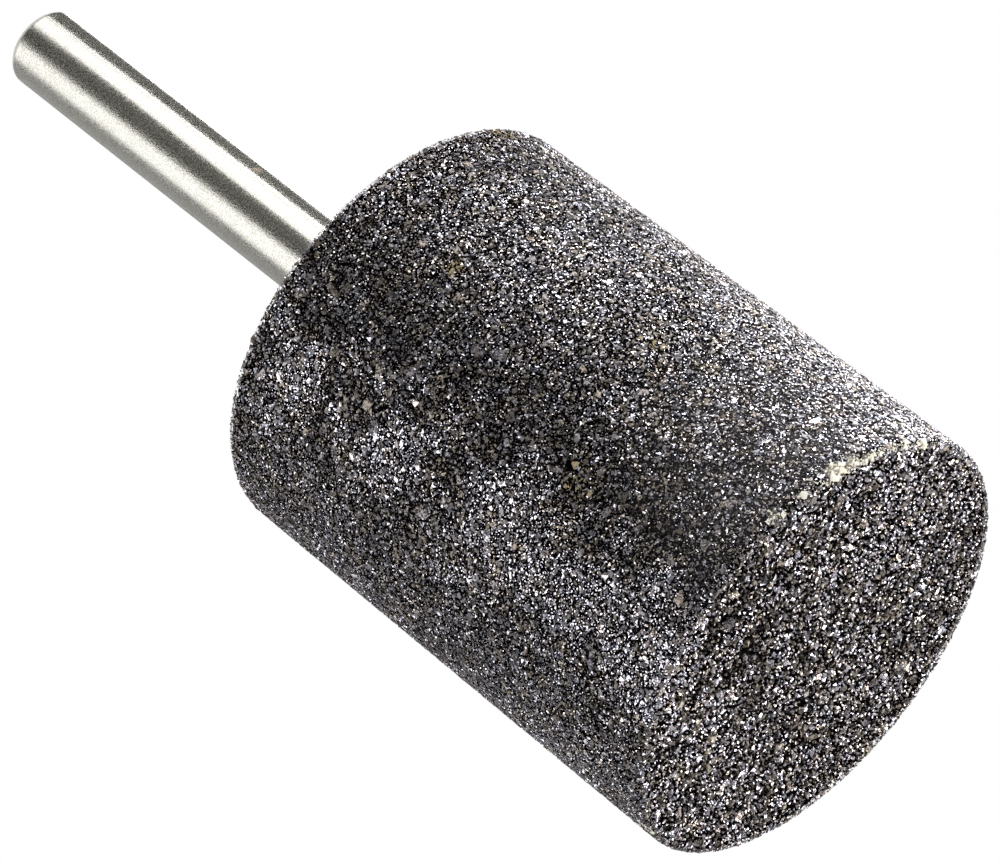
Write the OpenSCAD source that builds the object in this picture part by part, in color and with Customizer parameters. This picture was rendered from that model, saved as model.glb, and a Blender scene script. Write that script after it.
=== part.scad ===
// Mounted point: a cylindrical abrasive head cemented on a ground steel shank.
// The tool stands on its nose face, with the shank pointing up along +Z.
// The origin is the centre of the nose face. All sizes are in millimetres.

/* [Head] */
// Diameter of the abrasive head
head_d = 32; // [20:0.5:50]
// Length of the abrasive head along its axis
head_length = 40; // [34:0.5:80]
// Radius of the worn rim round the nose face
nose_rim_r = 0.6; // [0.2:0.1:1.5]
// Radius of the rim round the back face
back_rim_r = 0.4; // [0.2:0.1:1.5]

/* [Shank] */
// Diameter of the ground steel shank
shank_d = 6; // [3:0.1:8]
// Length of shank that stands free behind the head, for the collet
shank_free_length = 40; // [20:0.5:80]
// Length of shank bedded in the head
shank_bedded_length = 25; // [12:0.5:30]
// Radius round the free end of the shank
shank_end_r = 0.6; // [0.2:0.1:1.2]
// Chamfer at the bedded tip of the shank
shank_tip_chamfer = 0.8; // [0.3:0.1:1.2]

/* [Knurl] */
// Number of straight teeth rolled on the bedded end
knurl_teeth = 24; // [14:1:36]
// Depth that the bedded end is turned down before the knurl is rolled
neck_depth = 0.2; // [0.16:0.01:0.4]
// Length of the plain neck between the back face and the knurl
neck_length = 1.2; // [0.6:0.1:3]
// Length that the neck runs on into the roots of the knurl
neck_runout = 0.4; // [0.2:0.1:1]
// Height that the rolled crests stand above the neck
knurl_rise = 0.2; // [0.1:0.01:0.25]
// Depth that the rolled roots lie below the neck
knurl_depth = 0.2; // [0.1:0.01:0.4]

/* [Cement] */
// Thickness of cement between the plain shank and the wall of the socket
cement_wall = 0.5; // [0.3:0.05:1]
// Depth of cement under the tip of the shank
cement_bed = 1; // [0.5:0.1:3]
// How far the cement stops short of the back face
cement_recess = 0.15; // [0.05:0.05:0.5]
// Chamfer at the mouth of the socket
socket_chamfer = 0.5; // [0.2:0.1:1]

/* [Hidden] */

$fn = 96;

// Cuts run past the faces that they open by this much
overcut = 1;

head_r = head_d / 2;
shank_r = shank_d / 2;
shank_top_z = head_length + shank_free_length;
shank_tip_z = head_length - shank_bedded_length;

socket_r = shank_r + cement_wall;
socket_floor_z = shank_tip_z - cement_bed;
cement_top_z = head_length - cement_recess;

neck_r = shank_r - neck_depth;
knurl_top_z = head_length - neck_length;
neck_low_z = knurl_top_z - neck_runout;
knurl_length = knurl_top_z - shank_tip_z;
knurl_crest_r = neck_r + knurl_rise;
knurl_root_r = neck_r - knurl_depth;

abrasive_color = [0.22, 0.215, 0.225];
steel_color = [0.72, 0.72, 0.70];
cement_color = [0.62, 0.59, 0.50];

// What a quarter-round of radius r takes off a square corner at the origin.
// The corner points along +X and +Y.
module corner_waste(r) {
    difference() {
        translate([-r, -r]) square(r + overcut);
        translate([-r, -r]) circle(r);
    }
}

// Half section of a round bar between two heights, with a rounded edge at each end.
module bar_section(r, low_z, high_z, low_edge_r, high_edge_r) {
    difference() {
        translate([0, low_z]) square([r, high_z - low_z]);
        translate([r, high_z]) corner_waste(high_edge_r);
        translate([r, low_z]) mirror([0, 1]) corner_waste(low_edge_r);
    }
}

// Half section of the blind socket that takes the shank, open at the back face.
module socket_section() {
    mouth_r = socket_r + socket_chamfer;
    polygon([
        [0, socket_floor_z],
        [socket_r, socket_floor_z],
        [socket_r, head_length - socket_chamfer],
        [mouth_r, head_length],
        [mouth_r, head_length + overcut],
        [0, head_length + overcut],
    ]);
}

// Half section of the cement's outer form: the socket, filled to just below the back face.
module cement_section() {
    intersection() {
        socket_section();
        translate([0, socket_floor_z])
            square([head_r, cement_top_z - socket_floor_z]);
    }
}

// Half section of the plain part of the shank: the neck between the knurl and the back face,
// then the ground length that stands free, with a rounded end.
module plain_shank_section() {
    difference() {
        polygon([
            [0, neck_low_z],
            [neck_r, neck_low_z],
            [neck_r, head_length],
            [shank_r, head_length],
            [shank_r, shank_top_z],
            [0, shank_top_z],
        ]);
        translate([shank_r, shank_top_z]) corner_waste(shank_end_r);
    }
}

// Cross section of the straight knurl: a crest and a root for each tooth.
module knurl_outline() {
    half_pitch = 180 / knurl_teeth;
    polygon([
        for (i = [0 : 2 * knurl_teeth - 1])
            let (r = i % 2 == 0 ? knurl_crest_r : knurl_root_r)
                r * [cos(i * half_pitch), sin(i * half_pitch)]
    ]);
}

module abrasive_head() {
    color(abrasive_color)
        rotate_extrude()
            difference() {
                bar_section(head_r, 0, head_length, nose_rim_r, back_rim_r);
                socket_section();
            }
}

// The knurled end of the shank, with a 45 degree chamfer turned on its tip.
module knurled_end() {
    tip_r = knurl_crest_r - shank_tip_chamfer;
    translate([0, 0, shank_tip_z])
        intersection() {
            linear_extrude(knurl_length) knurl_outline();
            cylinder(h = knurl_length, r1 = tip_r, r2 = tip_r + knurl_length);
        }
}

module shank() {
    color(steel_color)
        union() {
            rotate_extrude() plain_shank_section();
            knurled_end();
        }
}

module mounting_cement() {
    color(cement_color)
        difference() {
            rotate_extrude() cement_section();
            shank();
        }
}

abrasive_head();
shank();
mounting_cement();
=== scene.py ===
"""The looks of a mounted point: a head of bonded grit, cemented on a ground steel shank.

Lengths are in metres, in the frame of the solids: the tool stands on its nose face at the
origin, and its axis is +Z. Angles round the axis are in radians, zero at +X, and grow towards
+Y. Azimuths are in degrees, zero at -Y, which is the camera's side, and 90 at +X.
"""

import math
from collections import namedtuple

import bmesh
import bpy
import numpy as np
from mathutils import Matrix, Vector, noise


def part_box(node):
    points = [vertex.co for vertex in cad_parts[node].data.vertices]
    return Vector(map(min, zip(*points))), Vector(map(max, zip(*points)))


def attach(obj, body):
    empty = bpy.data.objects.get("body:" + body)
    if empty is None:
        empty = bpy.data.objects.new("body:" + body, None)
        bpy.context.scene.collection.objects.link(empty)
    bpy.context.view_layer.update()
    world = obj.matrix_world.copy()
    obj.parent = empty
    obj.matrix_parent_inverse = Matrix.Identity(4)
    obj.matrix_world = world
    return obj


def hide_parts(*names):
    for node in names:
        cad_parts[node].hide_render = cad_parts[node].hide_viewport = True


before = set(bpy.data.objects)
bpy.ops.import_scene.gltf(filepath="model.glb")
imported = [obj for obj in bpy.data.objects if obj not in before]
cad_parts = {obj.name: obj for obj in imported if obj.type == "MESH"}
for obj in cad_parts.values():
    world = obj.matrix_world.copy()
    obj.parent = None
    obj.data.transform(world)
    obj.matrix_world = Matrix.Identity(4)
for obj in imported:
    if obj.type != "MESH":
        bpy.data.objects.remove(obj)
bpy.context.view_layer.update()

MM = 0.001
SEED = 27
GOLDEN_ANGLE = math.pi * (3 - math.sqrt(5))
rng = np.random.default_rng(SEED)

# Sizes of the head, from its solid and its socket
HEAD_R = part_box("abrasive_head")[1].x
HEAD_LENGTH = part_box("abrasive_head")[1].z
NOSE_RIM_R = 0.6 * MM
BACK_RIM_R = 0.4 * MM
SOCKET_R = 3.5 * MM
MOUTH_R = 4.0 * MM
MOUTH_DEPTH = 0.5 * MM
SOCKET_FLOOR_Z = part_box("mounting_cement")[0].z

# The grit, in two layers: broad worn lands on the side, or lumps on the faces, and small grains.
# Pitch is how far apart the grains lie, size is their reach as a share of the pitch, top is how far
# their upper half is left standing after dressing, recess is how far they sit back, fresh is the
# share with bright unworn faces, and worn is the range of tones, from 0 to 1, of the others.
# Tints are those of fresh and of worn grains, from 0, which is cold, to 1, which is warm.
Grit = namedtuple("Grit", "pitch size top recess corners fresh worn tints")
SIDE_TINTS = (0.28, 0.65)
FACE_TINTS = (0.45, 0.9)
SIDE_GRIT = (
    Grit(
        pitch=0.6 * MM, size=0.32, top=0.12, recess=0.06 * MM, corners=7,
        fresh=0.03, worn=(0.15, 0.36), tints=SIDE_TINTS,
    ),
    Grit(
        pitch=0.19 * MM, size=0.49, top=0.27, recess=0.1 * MM, corners=4,
        fresh=0.41, worn=(0.05, 0.48), tints=SIDE_TINTS,
    ),
)
FACE_GRIT = (
    Grit(
        pitch=1.1 * MM, size=0.25, top=0.9, recess=0.2 * MM, corners=9,
        fresh=0.1, worn=(0.15, 0.35), tints=FACE_TINTS,
    ),
    Grit(
        pitch=0.28 * MM, size=0.39, top=1.0, recess=0.26 * MM, corners=6,
        fresh=0.63, worn=(0.02, 0.46), tints=FACE_TINTS,
    ),
)
FRESH_TONES = (0.56, 1.0)

# How the grains are laid in rows, how their shapes and sizes vary, and how they are split in pieces
ROW_STEP = 0.87
SCATTER = 0.8
CRYSTAL_KINDS = 48
CORNER_SCATTER = 0.3
STRETCH = 0.25
SIZE_SPREAD = 0.25
SIDE_SECTORS = 4
NO_KIND = -1
BAKE_MARGIN = 0.12

# Clusters of fresh grains, crowded in a band on one side as a painted highlight where the lamp's
# glints fall, and patches of tint
CLUSTER_SIZE = 2.2 * MM
CLUSTER_STRENGTH = 0.6
BRIGHT_STRENGTH = 2.3
BRIGHT_AZIMUTH = -22.0
BRIGHT_REACH = 20.0
TINT_SIZE = 1.2 * MM
TINT_STRENGTH = 0.6
TINT_SPREAD = 0.9

# The bond between the grains
SIDE_BOND_DEPTH = 0.17 * MM
FACE_BOND_DEPTH = 0.34 * MM
BOND_STEP = 0.6 * MM
BOND_SEGMENTS = 180
BOND_RESIDUE_START = 0.6

# Pale residue along part of the nose rim, where it lies in lumps of uneven width
RIM_RESIDUE_AZIMUTH = 53.0
RIM_RESIDUE_REACH = 23.0
RIM_RESIDUE_FADE = 6.0
RIM_RESIDUE_WIDTH = 0.65 * MM
RIM_RESIDUE_THINNEST = 0.01
RIM_RESIDUE_LUMP = 1.1 * MM
RIM_RESIDUE_FILL = 0.6
RIM_RESIDUE_DENSITY = 2.5

# Spots on the head: lumps of residue on the rim, and on the side brown stains, clusters of fresh
# grains that are partly painted highlight where the lamps' glints and sheen fall, worn places that are
# partly painted shade where the side faces the camera, grey dust between the grains that is partly
# painted light, and a pit with none
Spot = namedtuple("Spot", "azimuth height size strength")
RESIDUE_SPOTS = (
    Spot(azimuth=18.0, height=0.4 * MM, size=0.8 * MM, strength=1.6),
    Spot(azimuth=37.0, height=0.3 * MM, size=1.0 * MM, strength=2.2),
    Spot(azimuth=42.0, height=0.3 * MM, size=0.8 * MM, strength=2.0),
    Spot(azimuth=26.0, height=0.3 * MM, size=0.5 * MM, strength=1.2),
    Spot(azimuth=31.0, height=0.3 * MM, size=0.6 * MM, strength=1.2),
    Spot(azimuth=-80.0, height=0.6 * MM, size=1.0 * MM, strength=0.7),
)
STAINS = (
    Spot(azimuth=19.2, height=30.4 * MM, size=1.2 * MM, strength=0.8),
    Spot(azimuth=64.6, height=39.3 * MM, size=1.4 * MM, strength=0.9),
    Spot(azimuth=35.2, height=16.2 * MM, size=1.1 * MM, strength=0.7),
    Spot(azimuth=-2.6, height=12.6 * MM, size=1.6 * MM, strength=0.65),
    Spot(azimuth=-14.8, height=11.4 * MM, size=1.2 * MM, strength=0.35),
)
# Fresh grains crowded where the lamps' glints and sheen fall: partly real clusters, partly painted
# highlight
FRESH_AND_HIGHLIGHT_SPOTS = (
    Spot(azimuth=-27.0, height=2.0 * MM, size=5.0 * MM, strength=4.0),
    Spot(azimuth=-18.0, height=3.5 * MM, size=4.0 * MM, strength=3.5),
    Spot(azimuth=-25.0, height=8.6 * MM, size=3.5 * MM, strength=4.0),
    Spot(azimuth=-17.5, height=12.3 * MM, size=3.0 * MM, strength=3.5),
    Spot(azimuth=-28.0, height=14.3 * MM, size=3.0 * MM, strength=3.5),
    Spot(azimuth=-14.2, height=14.9 * MM, size=2.5 * MM, strength=3.5),
    Spot(azimuth=-18.3, height=17.8 * MM, size=2.5 * MM, strength=3.5),
    Spot(azimuth=-22.3, height=25.1 * MM, size=3.0 * MM, strength=3.5),
    Spot(azimuth=-28.7, height=26.4 * MM, size=3.5 * MM, strength=2.5),
    Spot(azimuth=-24.0, height=35.0 * MM, size=4.0 * MM, strength=2.5),
    Spot(azimuth=62.0, height=5.0 * MM, size=15.0 * MM, strength=1.5),
    Spot(azimuth=58.0, height=15.0 * MM, size=12.0 * MM, strength=1.2),
    Spot(azimuth=45.0, height=10.0 * MM, size=14.0 * MM, strength=0.6),
    Spot(azimuth=48.0, height=25.0 * MM, size=16.0 * MM, strength=1.0),
    Spot(azimuth=-64.0, height=8.0 * MM, size=16.0 * MM, strength=0.8),
    Spot(azimuth=-66.0, height=30.0 * MM, size=16.0 * MM, strength=0.3),
)
# Fewer fresh grains, so darker grains: partly wear, partly painted shade down the band that faces the
# camera
WORN_AND_SHADE_SPOTS = (
    Spot(azimuth=35.0, height=2.0 * MM, size=14.0 * MM, strength=0.4),
    Spot(azimuth=2.0, height=8.0 * MM, size=9.0 * MM, strength=0.5),
    Spot(azimuth=2.0, height=20.0 * MM, size=9.0 * MM, strength=0.5),
    Spot(azimuth=2.0, height=32.0 * MM, size=9.0 * MM, strength=0.5),
)
# Grey fill in the gaps near the rim: partly grinding dust, partly painted light where the side is lit
# bright
DUST_AND_PAINTED_LIGHT_SPOTS = (
    Spot(azimuth=40.0, height=2.0 * MM, size=14.0 * MM, strength=1.0),
)
PITS = (
    Spot(azimuth=-1.3, height=13.8 * MM, size=0.28 * MM, strength=1.0),
)

# The shank: satin, but polished where it reaches far towards one azimuth, with a dull end and some rust
SHANK_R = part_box("shank")[1].x
SHANK_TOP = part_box("shank")[1].z
POLISH_AZIMUTH = 45.0
SATIN_REACH = 1.8 * MM
POLISHED_REACH = 2.6 * MM
DULL_END = 0.3 * MM
RUST_AZIMUTH = 54.0
RUST_HEIGHT = 56.8 * MM
RUST_SIZE = 0.8 * MM

# The photograph's view: where the camera sees the nose face, and how the axis leans
CAMERA_LENS = 176.1
CAMERA_SENSOR = 36.0
CAMERA_CLIP_START = 10 * MM
AXIS_IMAGE_ANGLE = math.radians(141.89)
AXIS_LEAN = math.radians(31.22)
NOSE_CENTRE_SEEN = Vector((20.50, -14.18, -314.2)) * MM

# The points of the tool that the lamps and the cards face
HEAD_CENTRE = Vector((0, 0, 30 * MM))
SHANK_CENTRE = Vector((0, 0, 60 * MM))

# Where the lamps and the cards stand, as seen from the tool, in degrees and metres
Lamp = namedtuple("Lamp", "azimuth elevation distance width height radiance")
LAMPS = {
    "softbox_right": Lamp(azimuth=47, elevation=31, distance=0.5, width=0.37, height=0.3, radiance=1.0),
    "softbox_left": Lamp(azimuth=-49, elevation=31, distance=0.5, width=0.45, height=0.3, radiance=0.92),
    "softbox_behind": Lamp(azimuth=117, elevation=27, distance=0.5, width=0.58, height=0.42, radiance=4.8),
    "softbox_nose": Lamp(azimuth=112, elevation=-24, distance=0.22, width=0.16, height=0.16, radiance=1.6),
    "softbox_low": Lamp(azimuth=170, elevation=-45, distance=0.5, width=0.35, height=0.35, radiance=2.8),
    "softbox_under": Lamp(azimuth=-35, elevation=-60, distance=0.5, width=0.3, height=0.3, radiance=2.2),
}
Card = namedtuple("Card", "centre azimuth elevation distance width height")
BLACK_CARDS = {
    "flag_front": Card(HEAD_CENTRE, azimuth=2, elevation=18, distance=0.6, width=0.5, height=1.2),
    "flag_low_left": Card(HEAD_CENTRE, azimuth=-100, elevation=-25, distance=0.6, width=0.9, height=0.5),
}
GREY_CARDS = {
    "flag_shank": Card(SHANK_CENTRE, azimuth=112, elevation=31, distance=0.1, width=0.088, height=0.1),
    "flag_shank_front": Card(SHANK_CENTRE, azimuth=1, elevation=31, distance=0.1, width=0.09, height=0.06),
}
PALE_CARDS = {
    "flag_left": Card(HEAD_CENTRE, azimuth=-122, elevation=31, distance=0.6, width=0.9, height=0.5),
}

# The cards' shades: the darkest and the palest grey or colour of each, and the cards that have it
Shade = namedtuple("Shade", "dark pale cards")
SHADES = {
    "black_card": Shade(dark=0.01, pale=0.02, cards=BLACK_CARDS),
    "grey_card": Shade(dark=(0.06, 0.057, 0.05), pale=(0.085, 0.081, 0.07), cards=GREY_CARDS),
    "pale_card": Shade(dark=0.33, pale=0.37, cards=PALE_CARDS),
}

# The surroundings: how far they light the tool, how pale they look below the horizon, and the
# heights, as shares of a unit step outwards, between which they turn white
WORLD_LIGHT = 0.6
WORLD_LOW_WHITE = 0.35
WORLD_HORIZON = (-0.1, 0.05)

# The table, which lies just below the nose face
TABLE_SIZE = 6.0
TABLE_Z = -0.05 * MM


def direction(azimuth, elevation):
    """Direction from the tool at this azimuth and elevation in degrees."""
    turn = math.radians(azimuth)
    lift = math.radians(elevation)
    return Vector((math.sin(turn) * math.cos(lift), -math.cos(turn) * math.cos(lift), math.sin(lift)))


def add_node(tree, kind, inputs=(), **settings):
    """Adds a shader node. Inputs are values, or sockets to link, by name or number."""
    node = tree.nodes.new("ShaderNode" + kind)
    for name, value in settings.items():
        setattr(node, name, value)
    for name, value in dict(inputs).items():
        if isinstance(value, bpy.types.NodeSocket):
            tree.links.new(value, node.inputs[name])
        else:
            node.inputs[name].default_value = value
    return node


def add_ramp(tree, factor, stops):
    """Adds a colour ramp with these (position, grey or colour) stops, and returns its colour."""
    node = add_node(tree, "ValToRGB", {"Fac": factor})
    elements = node.color_ramp.elements
    while len(elements) < len(stops):
        elements.new(1.0)
    for element, (position, colour) in zip(elements, stops):
        element.position = position
        element.color = (*colour, 1.0) if isinstance(colour, tuple) else (colour, colour, colour, 1.0)
    return node.outputs["Color"]


def add_place(tree):
    """Adds the place on the object in metres, and returns it."""
    return add_node(tree, "TexCoord").outputs["Object"]


def add_noise(tree, size, detail=3.0, roughness=0.55):
    """Adds noise with features of about this size in metres, and returns its value."""
    inputs = {"Vector": add_place(tree), "Scale": 1.0 / size, "Detail": detail, "Roughness": roughness}
    return add_node(tree, "TexNoise", inputs).outputs["Fac"]


def add_layer_value(tree, name):
    """Adds what a piece's layer of this name says of a place, and returns it."""
    return add_node(tree, "Attribute", attribute_name=name).outputs["Fac"]


def add_math(tree, operation, first, second, **settings):
    """Adds a sum, a product or the like of two values, and returns it."""
    return add_node(tree, "Math", {0: first, 1: second}, operation=operation, **settings).outputs[0]


def add_fade(tree, value, start, end, low=0.0, high=1.0):
    """Adds a value that goes from low to high while another goes from start to end, and returns it."""
    return add_node(tree, "MapRange", {0: value, 1: start, 2: end, 3: low, 4: high}).outputs[0]


def add_bump(tree, height, strength, distance):
    """Adds fine relief of this depth in metres, and returns its normal."""
    inputs = {"Height": height, "Strength": strength, "Distance": distance}
    return add_node(tree, "Bump", inputs).outputs["Normal"]


def mix_colours(tree, blend, factor, first, second):
    """Blends two colours and returns the result."""
    node = add_node(tree, "Mix", data_type="RGBA", blend_type=blend)
    sockets = {name: [s for s in node.inputs if s.name == name and s.type == "RGBA"] for name in "AB"}
    tree.links.new(first, sockets["A"][0])
    tree.links.new(second, sockets["B"][0])
    if isinstance(factor, bpy.types.NodeSocket):
        tree.links.new(factor, node.inputs["Factor"])
    else:
        node.inputs["Factor"].default_value = factor
    return next(s for s in node.outputs if s.type == "RGBA")


def new_surface(name):
    """A new material with its node tree and its Principled shader."""
    material = bpy.data.materials.new(name)
    material.use_nodes = True
    tree = material.node_tree
    return material, tree, tree.nodes["Principled BSDF"]


def feed(tree, shader, **sockets):
    """Links sockets into a shader's inputs: base_color goes into Base Color."""
    for name, socket in sockets.items():
        tree.links.new(socket, shader.inputs[name.replace("_", " ").title()])


def crust_colour(tree):
    """Cream residue."""
    return add_ramp(tree, add_noise(tree, 0.25 * MM), [
        (0.3, (0.90, 0.84, 0.66)),
        (0.7, (0.98, 0.96, 0.90)),
    ])


def dust_and_painted_light_colour(tree):
    """Dark grey fill between the grains: partly grinding dust, partly painted light that pales the gaps
    where the side is lit near the rim.
    """
    return add_ramp(tree, add_noise(tree, 0.25 * MM), [
        (0.34, (0.016, 0.015, 0.016)),
        (0.64, (0.105, 0.101, 0.105)),
    ])


def stain_colour(tree):
    """Dull brown stain."""
    return add_ramp(tree, add_noise(tree, 0.25 * MM), [
        (0.3, (0.20, 0.15, 0.08)),
        (0.7, (0.46, 0.38, 0.22)),
    ])


def grain_material():
    """Dark crystals with a bright lustre, each of its own tone and tint, some stained or under residue."""
    material, tree, shader = new_surface("abrasive_grain")
    tone = add_layer_value(tree, "grain_tone")
    tint = add_layer_value(tree, "grain_tint")
    # Fresh grains are bright and smooth: partly real, partly painted highlight where they crowd
    fresh = add_layer_value(tree, "grain_fresh_and_highlight")
    residue = add_layer_value(tree, "residue")
    stain = add_layer_value(tree, "stain")
    lustre = add_ramp(tree, tone, [(0.0, 0.02), (0.25, 0.2), (0.6, 0.8), (1.0, 1.0)])
    hue = add_ramp(tree, tint, [
        (0.0, (0.95, 0.96, 1.10)),
        (0.35, (1.03, 0.96, 1.03)),
        (0.65, (1.06, 0.97, 0.97)),
        (1.0, (1.14, 0.98, 0.82)),
    ])
    tinted = mix_colours(tree, "MULTIPLY", 1.0, lustre, hue)
    # Fine pits on the worn grains: the colour darkens where the relief dips, painted shade in the pits
    pitting = add_noise(tree, 0.15 * MM, detail=1.0)
    pits = add_ramp(tree, pitting, [(0.4, 0.12), (0.5, 1.0)])
    pitted = add_ramp(tree, fresh, [(0.0, 1.0), (1.0, 0.15)])
    grain = mix_colours(tree, "MULTIPLY", pitted, tinted, pits)
    stained = mix_colours(tree, "MIX", stain, grain, stain_colour(tree))
    colour = mix_colours(tree, "MIX", residue, stained, crust_colour(tree))
    covered = add_math(tree, "MAXIMUM", residue, stain)
    metallic = add_ramp(tree, covered, [(0.0, 0.92), (0.6, 0.0)])
    uneven = add_ramp(tree, add_noise(tree, 0.3 * MM), [(0.3, 0.0), (0.7, 0.1)])
    dulled = add_ramp(tree, fresh, [(0.0, 0.38), (1.0, 0.1)])
    roughness = add_math(tree, "ADD", uneven, dulled)
    bump = add_bump(tree, pitting, strength=0.8, distance=0.025 * MM)
    feed(tree, shader, base_color=colour, metallic=metallic, roughness=roughness, normal=bump)
    return material


def bond_and_gap_shade_material():
    """The dull bond between the grains: its near-black colour, darker than a real bond's, is partly
    painted shade in the gaps; it bears residue, and grey dust that is partly painted light.
    """
    material, tree, shader = new_surface("head_bond_and_gap_shade")
    residue = add_layer_value(tree, "residue")
    dust_and_painted_light = add_layer_value(tree, "dust_and_painted_light")
    # Near black, darker than a real bond: partly the bond's own colour, partly painted shade in the gaps
    # between the grains
    bare = add_ramp(tree, add_noise(tree, 0.5 * MM), [
        (0.3, (0.001, 0.0008, 0.0008)),
        (0.7, (0.004, 0.0032, 0.003)),
    ])
    # Grey fill over the near-black bond: partly dust, partly painted light
    dust_and_light_mixed = mix_colours(tree, "MIX", dust_and_painted_light, bare, dust_and_painted_light_colour(tree))
    colour = mix_colours(tree, "MIX", residue, dust_and_light_mixed, crust_colour(tree))
    bump = add_bump(tree, add_noise(tree, 0.12 * MM), strength=0.8, distance=0.05 * MM)
    roughness = add_ramp(tree, add_noise(tree, 0.2 * MM), [(0.3, 0.5), (0.7, 0.85)])
    shader.inputs["Specular IOR Level"].default_value = 0.0
    feed(tree, shader, base_color=colour, roughness=roughness, normal=bump)
    return material


def add_spot(tree, centre, size):
    """Adds a spot that fades out at this distance from a point, and returns how far it covers."""
    points = {0: add_place(tree), 1: centre}
    away = add_node(tree, "VectorMath", points, operation="DISTANCE").outputs["Value"]
    return add_fade(tree, away, 0.0, size, low=1.0, high=0.0)


def polish_share(tree):
    """How far the shank is polished: fully on the one side, and not at all on the rest."""
    vectors = {0: add_place(tree), 1: direction(POLISH_AZIMUTH, 0)}
    reach = add_node(tree, "VectorMath", vectors, operation="DOT_PRODUCT").outputs["Value"]
    return add_fade(tree, reach, SATIN_REACH, POLISHED_REACH)


def end_share(tree):
    """How far a place on the shank belongs to its turned end."""
    height = add_node(tree, "SeparateXYZ", {0: add_place(tree)}).outputs["Z"]
    return add_fade(tree, height, SHANK_TOP - DULL_END, SHANK_TOP)


def steel_material():
    """Ground steel, satin but polished on one side, with a dull turned end and a spot of rust."""
    material, tree, shader = new_surface("ground_steel")
    bare = add_ramp(tree, add_noise(tree, 0.12 * MM), [
        (0.38, (0.46, 0.45, 0.41)),
        (0.62, (0.60, 0.587, 0.54)),
    ])
    rust = add_ramp(tree, add_noise(tree, 0.2 * MM), [
        (0.3, (0.30, 0.18, 0.09)),
        (0.7, (0.55, 0.36, 0.22)),
    ])
    rust_centre = direction(RUST_AZIMUTH, 0) * SHANK_R + Vector((0, 0, RUST_HEIGHT))
    cover = add_spot(tree, rust_centre, RUST_SIZE)
    patchy = add_math(tree, "MULTIPLY", cover, add_noise(tree, 0.1 * MM))
    rusted = add_ramp(tree, patchy, [(0.2, 0.0), (0.45, 0.7)])
    colour = mix_colours(tree, "MIX", rusted, bare, rust)
    metallic = add_ramp(tree, rusted, [(0.0, 1.0), (0.8, 0.3)])
    polish = polish_share(tree)
    grain = add_noise(tree, 0.11 * MM, detail=1.0)
    rough = add_ramp(tree, grain, [(0.44, 0.16), (0.62, 0.41)])
    smooth = add_ramp(tree, grain, [(0.44, 0.14), (0.62, 0.3)])
    turned = add_ramp(tree, grain, [(0.44, 0.45), (0.62, 0.65)])
    ground = mix_colours(tree, "MIX", polish, rough, smooth)
    roughness = mix_colours(tree, "MIX", end_share(tree), ground, turned)
    relief = add_noise(tree, 0.1 * MM, detail=1.0)
    strength = add_ramp(tree, polish, [(0.0, 0.9), (1.0, 0.45)])
    bump = add_bump(tree, relief, strength, distance=0.014 * MM)
    feed(tree, shader, base_color=colour, metallic=metallic, roughness=roughness, normal=bump)
    return material


def cement_material():
    """Pale, gritty cement."""
    material, tree, shader = new_surface("mounting_cement")
    colour = add_ramp(tree, add_noise(tree, 0.4 * MM), [
        (0.3, (0.36, 0.33, 0.26)),
        (0.7, (0.60, 0.56, 0.46)),
    ])
    bump = add_bump(tree, add_noise(tree, 0.15 * MM), strength=0.8, distance=0.05 * MM)
    roughness = add_ramp(tree, add_noise(tree, 0.3 * MM), [(0.3, 0.75), (0.7, 0.95)])
    feed(tree, shader, base_color=colour, roughness=roughness, normal=bump)
    return material


class Outline:
    """The head's outline from the centre of the nose face to the mouth of the socket.

    A point is named by its distance along the outline. Each is a core point, moved by the
    rim's radius along the outward direction, so that the rims are true quarter rounds.
    """

    quarter = math.pi / 2
    nose_end = HEAD_R - NOSE_RIM_R
    side_start = nose_end + NOSE_RIM_R * quarter
    side_end = side_start + HEAD_LENGTH - NOSE_RIM_R - BACK_RIM_R
    back_start = side_end + BACK_RIM_R * quarter
    end = back_start + HEAD_R - BACK_RIM_R - MOUTH_R
    knots = (0.0, nose_end, side_start, side_end, back_start, end)
    turns = (-quarter, -quarter, 0.0, 0.0, quarter, quarter)
    rims = (NOSE_RIM_R,) * 3 + (BACK_RIM_R,) * 3
    core_radii = (0.0, nose_end, nose_end, HEAD_R - BACK_RIM_R, HEAD_R - BACK_RIM_R, MOUTH_R)
    core_heights = (NOSE_RIM_R,) * 3 + (HEAD_LENGTH - BACK_RIM_R,) * 3

    @classmethod
    def at(cls, along):
        """Radius, height and outward direction (across, up) at these distances."""
        turn = np.interp(along, cls.knots, cls.turns)
        rim = np.interp(along, cls.knots, cls.rims)
        radius = np.interp(along, cls.knots, cls.core_radii) + rim * np.cos(turn)
        height = np.interp(along, cls.knots, cls.core_heights) + rim * np.sin(turn)
        return radius, height, np.cos(turn), np.sin(turn)

    @classmethod
    def place(cls, along, angle):
        """Points on the head and their outward directions."""
        radius, height, across, up = cls.at(along)
        around = np.stack([np.cos(angle), np.sin(angle)], -1)
        points = np.concatenate([around * radius[:, None], height[:, None]], -1)
        outward = np.concatenate([around * across[:, None], up[:, None]], -1)
        return points, outward


def scatter_grains(grit, start, end):
    """Distances along this stretch of the outline and angles of the grains, in loose rows."""
    rows = []
    for along in np.arange(start, end, grit.pitch * ROW_STEP):
        radius = float(Outline.at(along)[0])
        count = max(1, round(2 * math.pi * radius / grit.pitch))
        angles = (np.arange(count) + rng.random()) * (2 * math.pi / count)
        angles += rng.uniform(-0.5, 0.5, count) * SCATTER * 2 * math.pi / count
        distances = along + rng.uniform(-0.5, 0.5, count) * SCATTER * grit.pitch
        rows.append(np.stack([distances, angles % (2 * math.pi)]))
    places = np.concatenate(rows, 1)
    return places[:, (places[0] > 0) & (places[0] < Outline.end)]


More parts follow.
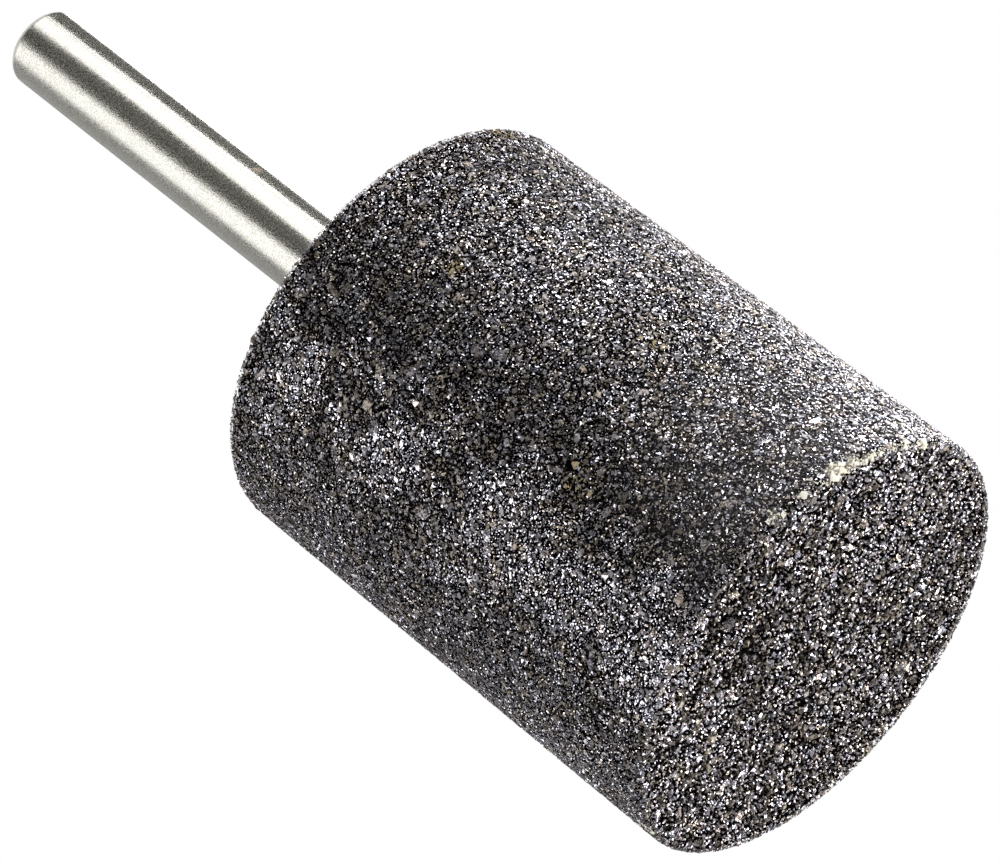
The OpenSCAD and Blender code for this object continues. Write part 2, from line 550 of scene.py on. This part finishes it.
def crystal(count):
    """Corners and triangles of one lump of grit with this many corners, about a unit ball."""
    index = np.arange(count) + 0.5
    height = 1 - 2 * index / count
    turn = index * GOLDEN_ANGLE
    flat = np.sqrt(1 - height**2)
    corners = np.stack([flat * np.cos(turn), flat * np.sin(turn), height], -1)
    corners += rng.normal(0, CORNER_SCATTER, corners.shape)
    corners /= np.linalg.norm(corners, axis=1, keepdims=True)
    corners *= np.exp(rng.normal(0, STRETCH, 3))
    mesh = bmesh.new()
    for corner in corners:
        mesh.verts.new(corner)
    bmesh.ops.convex_hull(mesh, input=mesh.verts)
    bmesh.ops.recalc_face_normals(mesh, faces=mesh.faces)
    mesh.verts.index_update()
    triangles = np.array([[vert.index for vert in face.verts] for face in mesh.faces])
    mesh.free()
    return corners, triangles


def random_turns(count):
    """Rotation matrices, evenly spread."""
    quaternions = rng.normal(size=(4, count))
    w, x, y, z = quaternions / np.linalg.norm(quaternions, axis=0)
    rows = [
        [1 - 2 * (y * y + z * z), 2 * (x * y - z * w), 2 * (x * z + y * w)],
        [2 * (x * y + z * w), 1 - 2 * (x * x + z * z), 2 * (y * z - x * w)],
        [2 * (x * z - y * w), 2 * (y * z + x * w), 1 - 2 * (x * x + y * y)],
    ]
    return np.array(rows).transpose(2, 0, 1)


def grain_corners(corners, points, outward, sizes, grit):
    """One kind of crystal set in the head at each point, dressed to just under the head's face."""
    placed = np.einsum("nij,kj->nki", random_turns(len(points)), corners)
    rise = np.einsum("nki,ni->nk", placed, outward)
    dressed = np.where(rise > 0, grit.top * rise, rise)
    placed += (dressed - rise)[:, :, None] * outward[:, None, :]
    placed *= sizes[:, None, None]
    tips = sizes * dressed.max(1) + rng.random(len(points)) * grit.recess
    return placed + (points - tips[:, None] * outward)[:, None, :]


def mesh_piece(name, corners, faces, material):
    """A new piece of the head, riding on the tool's one body."""
    mesh = bpy.data.meshes.new(name)
    mesh.from_pydata(corners.tolist(), [], faces)
    mesh.materials.append(material)
    piece = bpy.data.objects.new(name, mesh)
    bpy.context.scene.collection.objects.link(piece)
    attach(piece, "root")
    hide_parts("abrasive_head")
    return piece


def add_layer(piece, name, domain, values):
    """Gives a piece a value for each of its faces or points, for its material."""
    layer = piece.data.attributes.new(name, "FLOAT", domain)
    layer.data.foreach_set("value", values.astype(np.float32))


def add_bake_map(piece):
    """Lays each triangle of a piece out flat, in its own half of a grid cell."""
    mesh = piece.data
    number = np.arange(len(mesh.polygons))
    cell = number // 2
    across = math.ceil(math.sqrt(len(number) / 2))
    near = BAKE_MARGIN
    far = 1 - 2 * BAKE_MARGIN
    lower = np.array([(near, near), (far, near), (near, far)])
    corners = np.where((number % 2 == 0)[:, None, None], lower, 1 - lower)
    origins = np.stack([cell % across, cell // across], -1)
    places = (origins[:, None, :] + corners) / across
    layer = mesh.uv_layers.new(name="OFBake")
    layer.data.foreach_set("uv", places.ravel().astype(np.float32))


def azimuth_of(points):
    """The points' azimuths."""
    return np.degrees(np.arctan2(points[:, 0], -points[:, 1]))


def patches(points, size):
    """Smooth noise at these points, from about -1 to 1, with patches of this size."""
    return np.array([noise.noise(Vector(point) / size) for point in points])


def spot_cover(points, spots):
    """How strongly these spots cover the points: most at each spot's centre."""
    cover = np.zeros(len(points))
    for spot in spots:
        centre = direction(spot.azimuth, 0) * HEAD_R + Vector((0, 0, spot.height))
        away = np.linalg.norm(points - np.array(centre), axis=1)
        cover = np.maximum(cover, spot.strength * np.clip(1 - away / spot.size, 0, 1))
    return cover


def residue_at(points):
    """How far pale residue covers these points of the head: in lumps along part of the nose rim."""
    off_rim = np.hypot(np.hypot(points[:, 0], points[:, 1]) - (HEAD_R - NOSE_RIM_R / 2), points[:, 2])
    lumps = RIM_RESIDUE_FILL + patches(points, RIM_RESIDUE_LUMP)
    width = RIM_RESIDUE_WIDTH * np.clip(lumps, RIM_RESIDUE_THINNEST, 1)
    off_middle = np.abs(azimuth_of(points) - RIM_RESIDUE_AZIMUTH)
    inside = np.clip((RIM_RESIDUE_REACH - off_middle) / RIM_RESIDUE_FADE, 0, 1)
    line = inside * np.clip(RIM_RESIDUE_DENSITY * (1 - off_rim / width), 0, 1)
    return np.maximum(line, spot_cover(points, RESIDUE_SPOTS))


def fresh_share_with_painted_light(points, grit):
    """The share of fresh grains at these points, which lie in clusters: more where the lamps' glints and
    sheen fall, a painted highlight, and less in the worn places, partly painted shade.
    """
    # The band where the left lamp's glints fall holds the most fresh grains: a painted highlight
    off_bright = (azimuth_of(points) - BRIGHT_AZIMUTH) / BRIGHT_REACH
    strength = CLUSTER_STRENGTH + BRIGHT_STRENGTH * np.exp(-(off_bright**2))
    clusters = strength * patches(points, CLUSTER_SIZE) + spot_cover(points, FRESH_AND_HIGHLIGHT_SPOTS)
    # Fewer fresh grains in the worn places: partly wear, partly painted shade down the band facing the
    # camera
    return grit.fresh * (1 + clusters - spot_cover(points, WORN_AND_SHADE_SPOTS))


def grain_layers(points, grit):
    """What the material needs to know of each grain."""
    count = len(points)
    # Fresh grains are bright: partly real, partly painted highlight where they crowd
    fresh = rng.random(count) < fresh_share_with_painted_light(points, grit)
    lowest, highest = (np.where(fresh, new, old) for new, old in zip(FRESH_TONES, grit.worn))
    tint = np.where(fresh, *grit.tints) + TINT_STRENGTH * patches(points, TINT_SIZE)
    tint += TINT_SPREAD * (rng.random(count) - 0.5)
    return {
        "grain_fresh_and_highlight": fresh,
        "grain_tone": lowest + (highest - lowest) * rng.random(count),
        "grain_tint": tint.clip(0, 1),
        "residue": rng.random(count) < residue_at(points),
        "stain": rng.random(count) < spot_cover(points, STAINS),
    }


class GrainMesh:
    """Crystals gathered for one piece: corners, triangles, and values for each triangle."""

    def __init__(self):
        self.corners = []
        self.faces = []
        self.layers = {}
        self.total = 0

    def add(self, grit, kinds, along, angle):
        """Adds a crystal of this grit at each place, but none in the pits."""
        points, outward = Outline.place(along, angle)
        sizes = grit.size * grit.pitch * np.exp(rng.normal(0, SIZE_SPREAD, len(points)))
        layers = grain_layers(points, grit)
        kind = rng.integers(0, len(kinds), len(points))
        kind[spot_cover(points, PITS) > 0] = NO_KIND
        for number, (corners, triangles) in enumerate(kinds):
            chosen = np.flatnonzero(kind == number)
            placed = grain_corners(corners, points[chosen], outward[chosen], sizes[chosen], grit)
            starts = self.total + np.arange(len(chosen)) * len(corners)
            self.corners.append(placed.reshape(-1, 3))
            self.faces.append((triangles[None] + starts[:, None, None]).reshape(-1, 3))
            for name, values in layers.items():
                self.layers.setdefault(name, []).append(np.repeat(values[chosen], len(triangles)))
            self.total += len(chosen) * len(corners)

    def finish(self, name, material):
        """Makes the piece."""
        faces = np.concatenate(self.faces).tolist()
        piece = mesh_piece(name, np.concatenate(self.corners), faces, material)
        for layer_name, values in self.layers.items():
            add_layer(piece, layer_name, "FACE", np.concatenate(values))
        add_bake_map(piece)


def crystals_of(grits):
    """The kinds of crystal for each layer of grit."""
    return [[crystal(grit.corners) for _ in range(CRYSTAL_KINDS)] for grit in grits]


def make_face_grit(name, start, end, kinds, material):
    """The grains of the nose face or of the back face."""
    mesh = GrainMesh()
    for grit, grit_kinds in zip(FACE_GRIT, kinds):
        mesh.add(grit, grit_kinds, *scatter_grains(grit, start, end))
    mesh.finish(name, material)


def make_side_grit(kinds, material):
    """The grains of the side, in sectors."""
    meshes = [GrainMesh() for _ in range(SIDE_SECTORS)]
    for grit, grit_kinds in zip(SIDE_GRIT, kinds):
        start = Outline.nose_end + grit.pitch / 2
        end = Outline.back_start - grit.pitch / 2
        along, angle = scatter_grains(grit, start, end)
        sector = (angle / (2 * math.pi) * SIDE_SECTORS).astype(int)
        for number, mesh in enumerate(meshes):
            mesh.add(grit, grit_kinds, along[sector == number], angle[sector == number])
    for number, mesh in enumerate(meshes):
        mesh.finish(f"side_grains_{number}", material)


def make_grit():
    """The grains all over the head."""
    material = grain_material()
    face_kinds = crystals_of(FACE_GRIT)
    make_face_grit("nose_grains", 0.0, Outline.nose_end, face_kinds, material)
    make_face_grit("back_grains", Outline.back_start, Outline.end, face_kinds, material)
    make_side_grit(crystals_of(SIDE_GRIT), material)


def lathe(radii, heights, segments):
    """Corners and faces of a closed turned form. The outline starts and ends on the axis."""
    angle = np.arange(segments) * (2 * math.pi / segments)
    rings = np.stack([
        np.outer(radii[1:-1], np.cos(angle)),
        np.outer(radii[1:-1], np.sin(angle)),
        np.repeat(heights[1:-1, None], segments, 1),
    ], -1)
    corners = np.concatenate([[[0, 0, heights[0]]], rings.reshape(-1, 3), [[0, 0, heights[-1]]]])
    here = np.arange(segments)
    after = np.roll(here, -1)
    faces = [[0, 1 + j, 1 + i] for i, j in zip(here, after)]
    last = len(corners) - 1
    for row in range(len(radii) - 3):
        low = 1 + row * segments
        high = low + segments
        faces += [[low + i, low + j, high + j, high + i] for i, j in zip(here, after)]
    faces += [[last, last - segments + i, last - segments + j] for i, j in zip(here, after)]
    return corners, faces


def make_bond():
    """The bond: the head's form just below the grains' tips, with its socket."""
    rows = round(Outline.end / BOND_STEP)
    along = np.linspace(0, Outline.end, rows)
    radius, height, across, up = Outline.at(along)
    depths = (FACE_BOND_DEPTH,) * 2 + (SIDE_BOND_DEPTH,) * 2 + (FACE_BOND_DEPTH,) * 2
    depth = np.interp(along, Outline.knots, depths)
    socket_radii = [SOCKET_R, SOCKET_R, 0.0]
    socket_heights = [HEAD_LENGTH - MOUTH_DEPTH, SOCKET_FLOOR_Z, SOCKET_FLOOR_Z]
    radii = np.concatenate([radius - depth * across, socket_radii])
    heights = np.concatenate([height - depth * up, socket_heights])
    radii[0] = 0.0
    corners, faces = lathe(radii, heights, BOND_SEGMENTS)
    piece = mesh_piece("head_bond_and_gap_shade", corners, faces, bond_and_gap_shade_material())
    add_layer(piece, "residue", "POINT", np.clip(residue_at(corners) - BOND_RESIDUE_START, 0, 1))
    # The grey fill near the rim, partly dust and partly painted light, lies on the side only
    on_side = corners[:, 2] > NOSE_RIM_R
    add_layer(piece, "dust_and_painted_light", "POINT", np.where(on_side, spot_cover(corners, DUST_AND_PAINTED_LIGHT_SPOTS), 0))


def dress_node(name, material):
    """Gives a solid its finished material."""
    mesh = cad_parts[name].data
    mesh.materials.clear()
    mesh.materials.append(material)


def make_camera():
    """The photograph's camera, placed from how it sees the tool's axis and nose face."""
    axis = Vector((
        math.cos(AXIS_LEAN) * math.cos(AXIS_IMAGE_ANGLE),
        math.cos(AXIS_LEAN) * math.sin(AXIS_IMAGE_ANGLE),
        -math.sin(AXIS_LEAN),
    ))
    away = (NOSE_CENTRE_SEEN - NOSE_CENTRE_SEEN.project(axis)).normalized()
    across = away.cross(axis)
    tool_seen = Matrix((across, away, axis)).transposed().to_4x4()
    tool_seen.translation = NOSE_CENTRE_SEEN
    data = bpy.data.cameras.new("camera")
    data.lens = CAMERA_LENS
    data.sensor_width = CAMERA_SENSOR
    data.clip_start = CAMERA_CLIP_START
    camera = bpy.data.objects.new("camera", data)
    camera.matrix_world = tool_seen.inverted()
    bpy.context.scene.collection.objects.link(camera)
    bpy.context.scene.camera = camera


def aim(thing, centre, spot):
    """Puts a lamp or a card in its place, facing this point of the tool."""
    back = direction(spot.azimuth, spot.elevation)
    thing.location = centre + back * spot.distance
    thing.rotation_mode = "QUATERNION"
    thing.rotation_quaternion = back.to_track_quat("Z", "Y")
    bpy.context.scene.collection.objects.link(thing)


def make_lamp(name, lamp):
    """A studio softbox. An area lamp's radiance is a quarter of its energy over its area."""
    data = bpy.data.lights.new(name, "AREA")
    data.shape = "RECTANGLE"
    data.size = lamp.width
    data.size_y = lamp.height
    data.energy = 4 * lamp.radiance * lamp.width * lamp.height
    softbox = bpy.data.objects.new(name, data)
    softbox.visible_camera = False
    aim(softbox, HEAD_CENTRE, lamp)


def flat_mesh(name, width, length, z=0.0):
    """A flat rectangle at this height, with its middle on the Z axis."""
    mesh = bpy.data.meshes.new(name)
    x = width / 2
    y = length / 2
    mesh.from_pydata([(-x, -y, z), (x, -y, z), (x, y, z), (-x, y, z)], [], [(0, 1, 2, 3)])
    return mesh


def make_card(name, card, material):
    """A dull card that only reflections show."""
    mesh = flat_mesh(name, card.width, card.height)
    mesh.materials.append(material)
    piece = bpy.data.objects.new(name, mesh)
    aim(piece, card.centre, card)
    piece.visible_camera = False
    piece.visible_diffuse = False
    piece.visible_shadow = False
    piece.visible_transmission = False


def card_material(name, shade):
    """A dull card of this shade."""
    material, tree, shader = new_surface(name)
    colour = add_ramp(tree, add_noise(tree, 100 * MM), [(0.3, shade.dark), (0.7, shade.pale)])
    feed(tree, shader, base_color=colour)
    return material


def make_world():
    """White for the camera and for reflections, dark under the table, and a plain grey light."""
    world = bpy.data.worlds.new("studio")
    bpy.context.scene.world = world
    world.use_nodes = True
    tree = world.node_tree
    path = add_node(tree, "LightPath").outputs
    mirrored = add_math(tree, "MAXIMUM", path["Is Glossy Ray"], path["Is Transmission Ray"])
    seen = add_math(tree, "MAXIMUM", path["Is Camera Ray"], mirrored)
    outward = add_node(tree, "TexCoord").outputs["Generated"]
    height = add_node(tree, "SeparateXYZ", {0: outward}).outputs["Z"]
    white = add_fade(tree, height, *WORLD_HORIZON, low=WORLD_LOW_WHITE)
    strength = add_node(tree, "Mix", {0: seen, 2: WORLD_LIGHT, 3: white}).outputs[0]
    background = tree.nodes["Background"]
    tree.links.new(strength, background.inputs["Strength"])
    background.inputs["Color"].default_value = (1.0, 1.0, 1.0, 1.0)


def floor_material():
    """A pale table that the camera sees from above only."""
    material, tree, shader = new_surface("table")
    colour = add_ramp(tree, add_noise(tree, 200 * MM), [(0.3, 0.80), (0.7, 0.84)])
    shader.inputs["Roughness"].default_value = 0.9
    feed(tree, shader, base_color=colour)
    seen = add_node(tree, "LightPath").outputs["Is Camera Ray"]
    below = add_node(tree, "NewGeometry").outputs["Backfacing"]
    shown = add_math(tree, "SUBTRACT", seen, below, use_clamp=True)
    clear = add_node(tree, "BsdfTransparent").outputs[0]
    mixed = add_node(tree, "MixShader", {0: shown, 1: clear, 2: shader.outputs[0]}).outputs[0]
    tree.links.new(mixed, tree.nodes["Material Output"].inputs["Surface"])
    return material


def make_floor():
    """The table that the tool stands on."""
    mesh = flat_mesh("table", TABLE_SIZE, TABLE_SIZE, TABLE_Z)
    mesh.materials.append(floor_material())
    floor = bpy.data.objects.new("table", mesh)
    bpy.context.scene.collection.objects.link(floor)


def make_stage():
    """The table, the surroundings, the lamps and the cards."""
    make_floor()
    make_world()
    for name, lamp in LAMPS.items():
        make_lamp(name, lamp)
    for shade_name, shade in SHADES.items():
        material = card_material(shade_name, shade)
        for name, card in shade.cards.items():
            make_card(name, card, material)
    bpy.context.scene.view_settings.view_transform = "Standard"


make_camera()
make_stage()
make_bond()
make_grit()
dress_node("shank", steel_material())
dress_node("mounting_cement", cement_material())
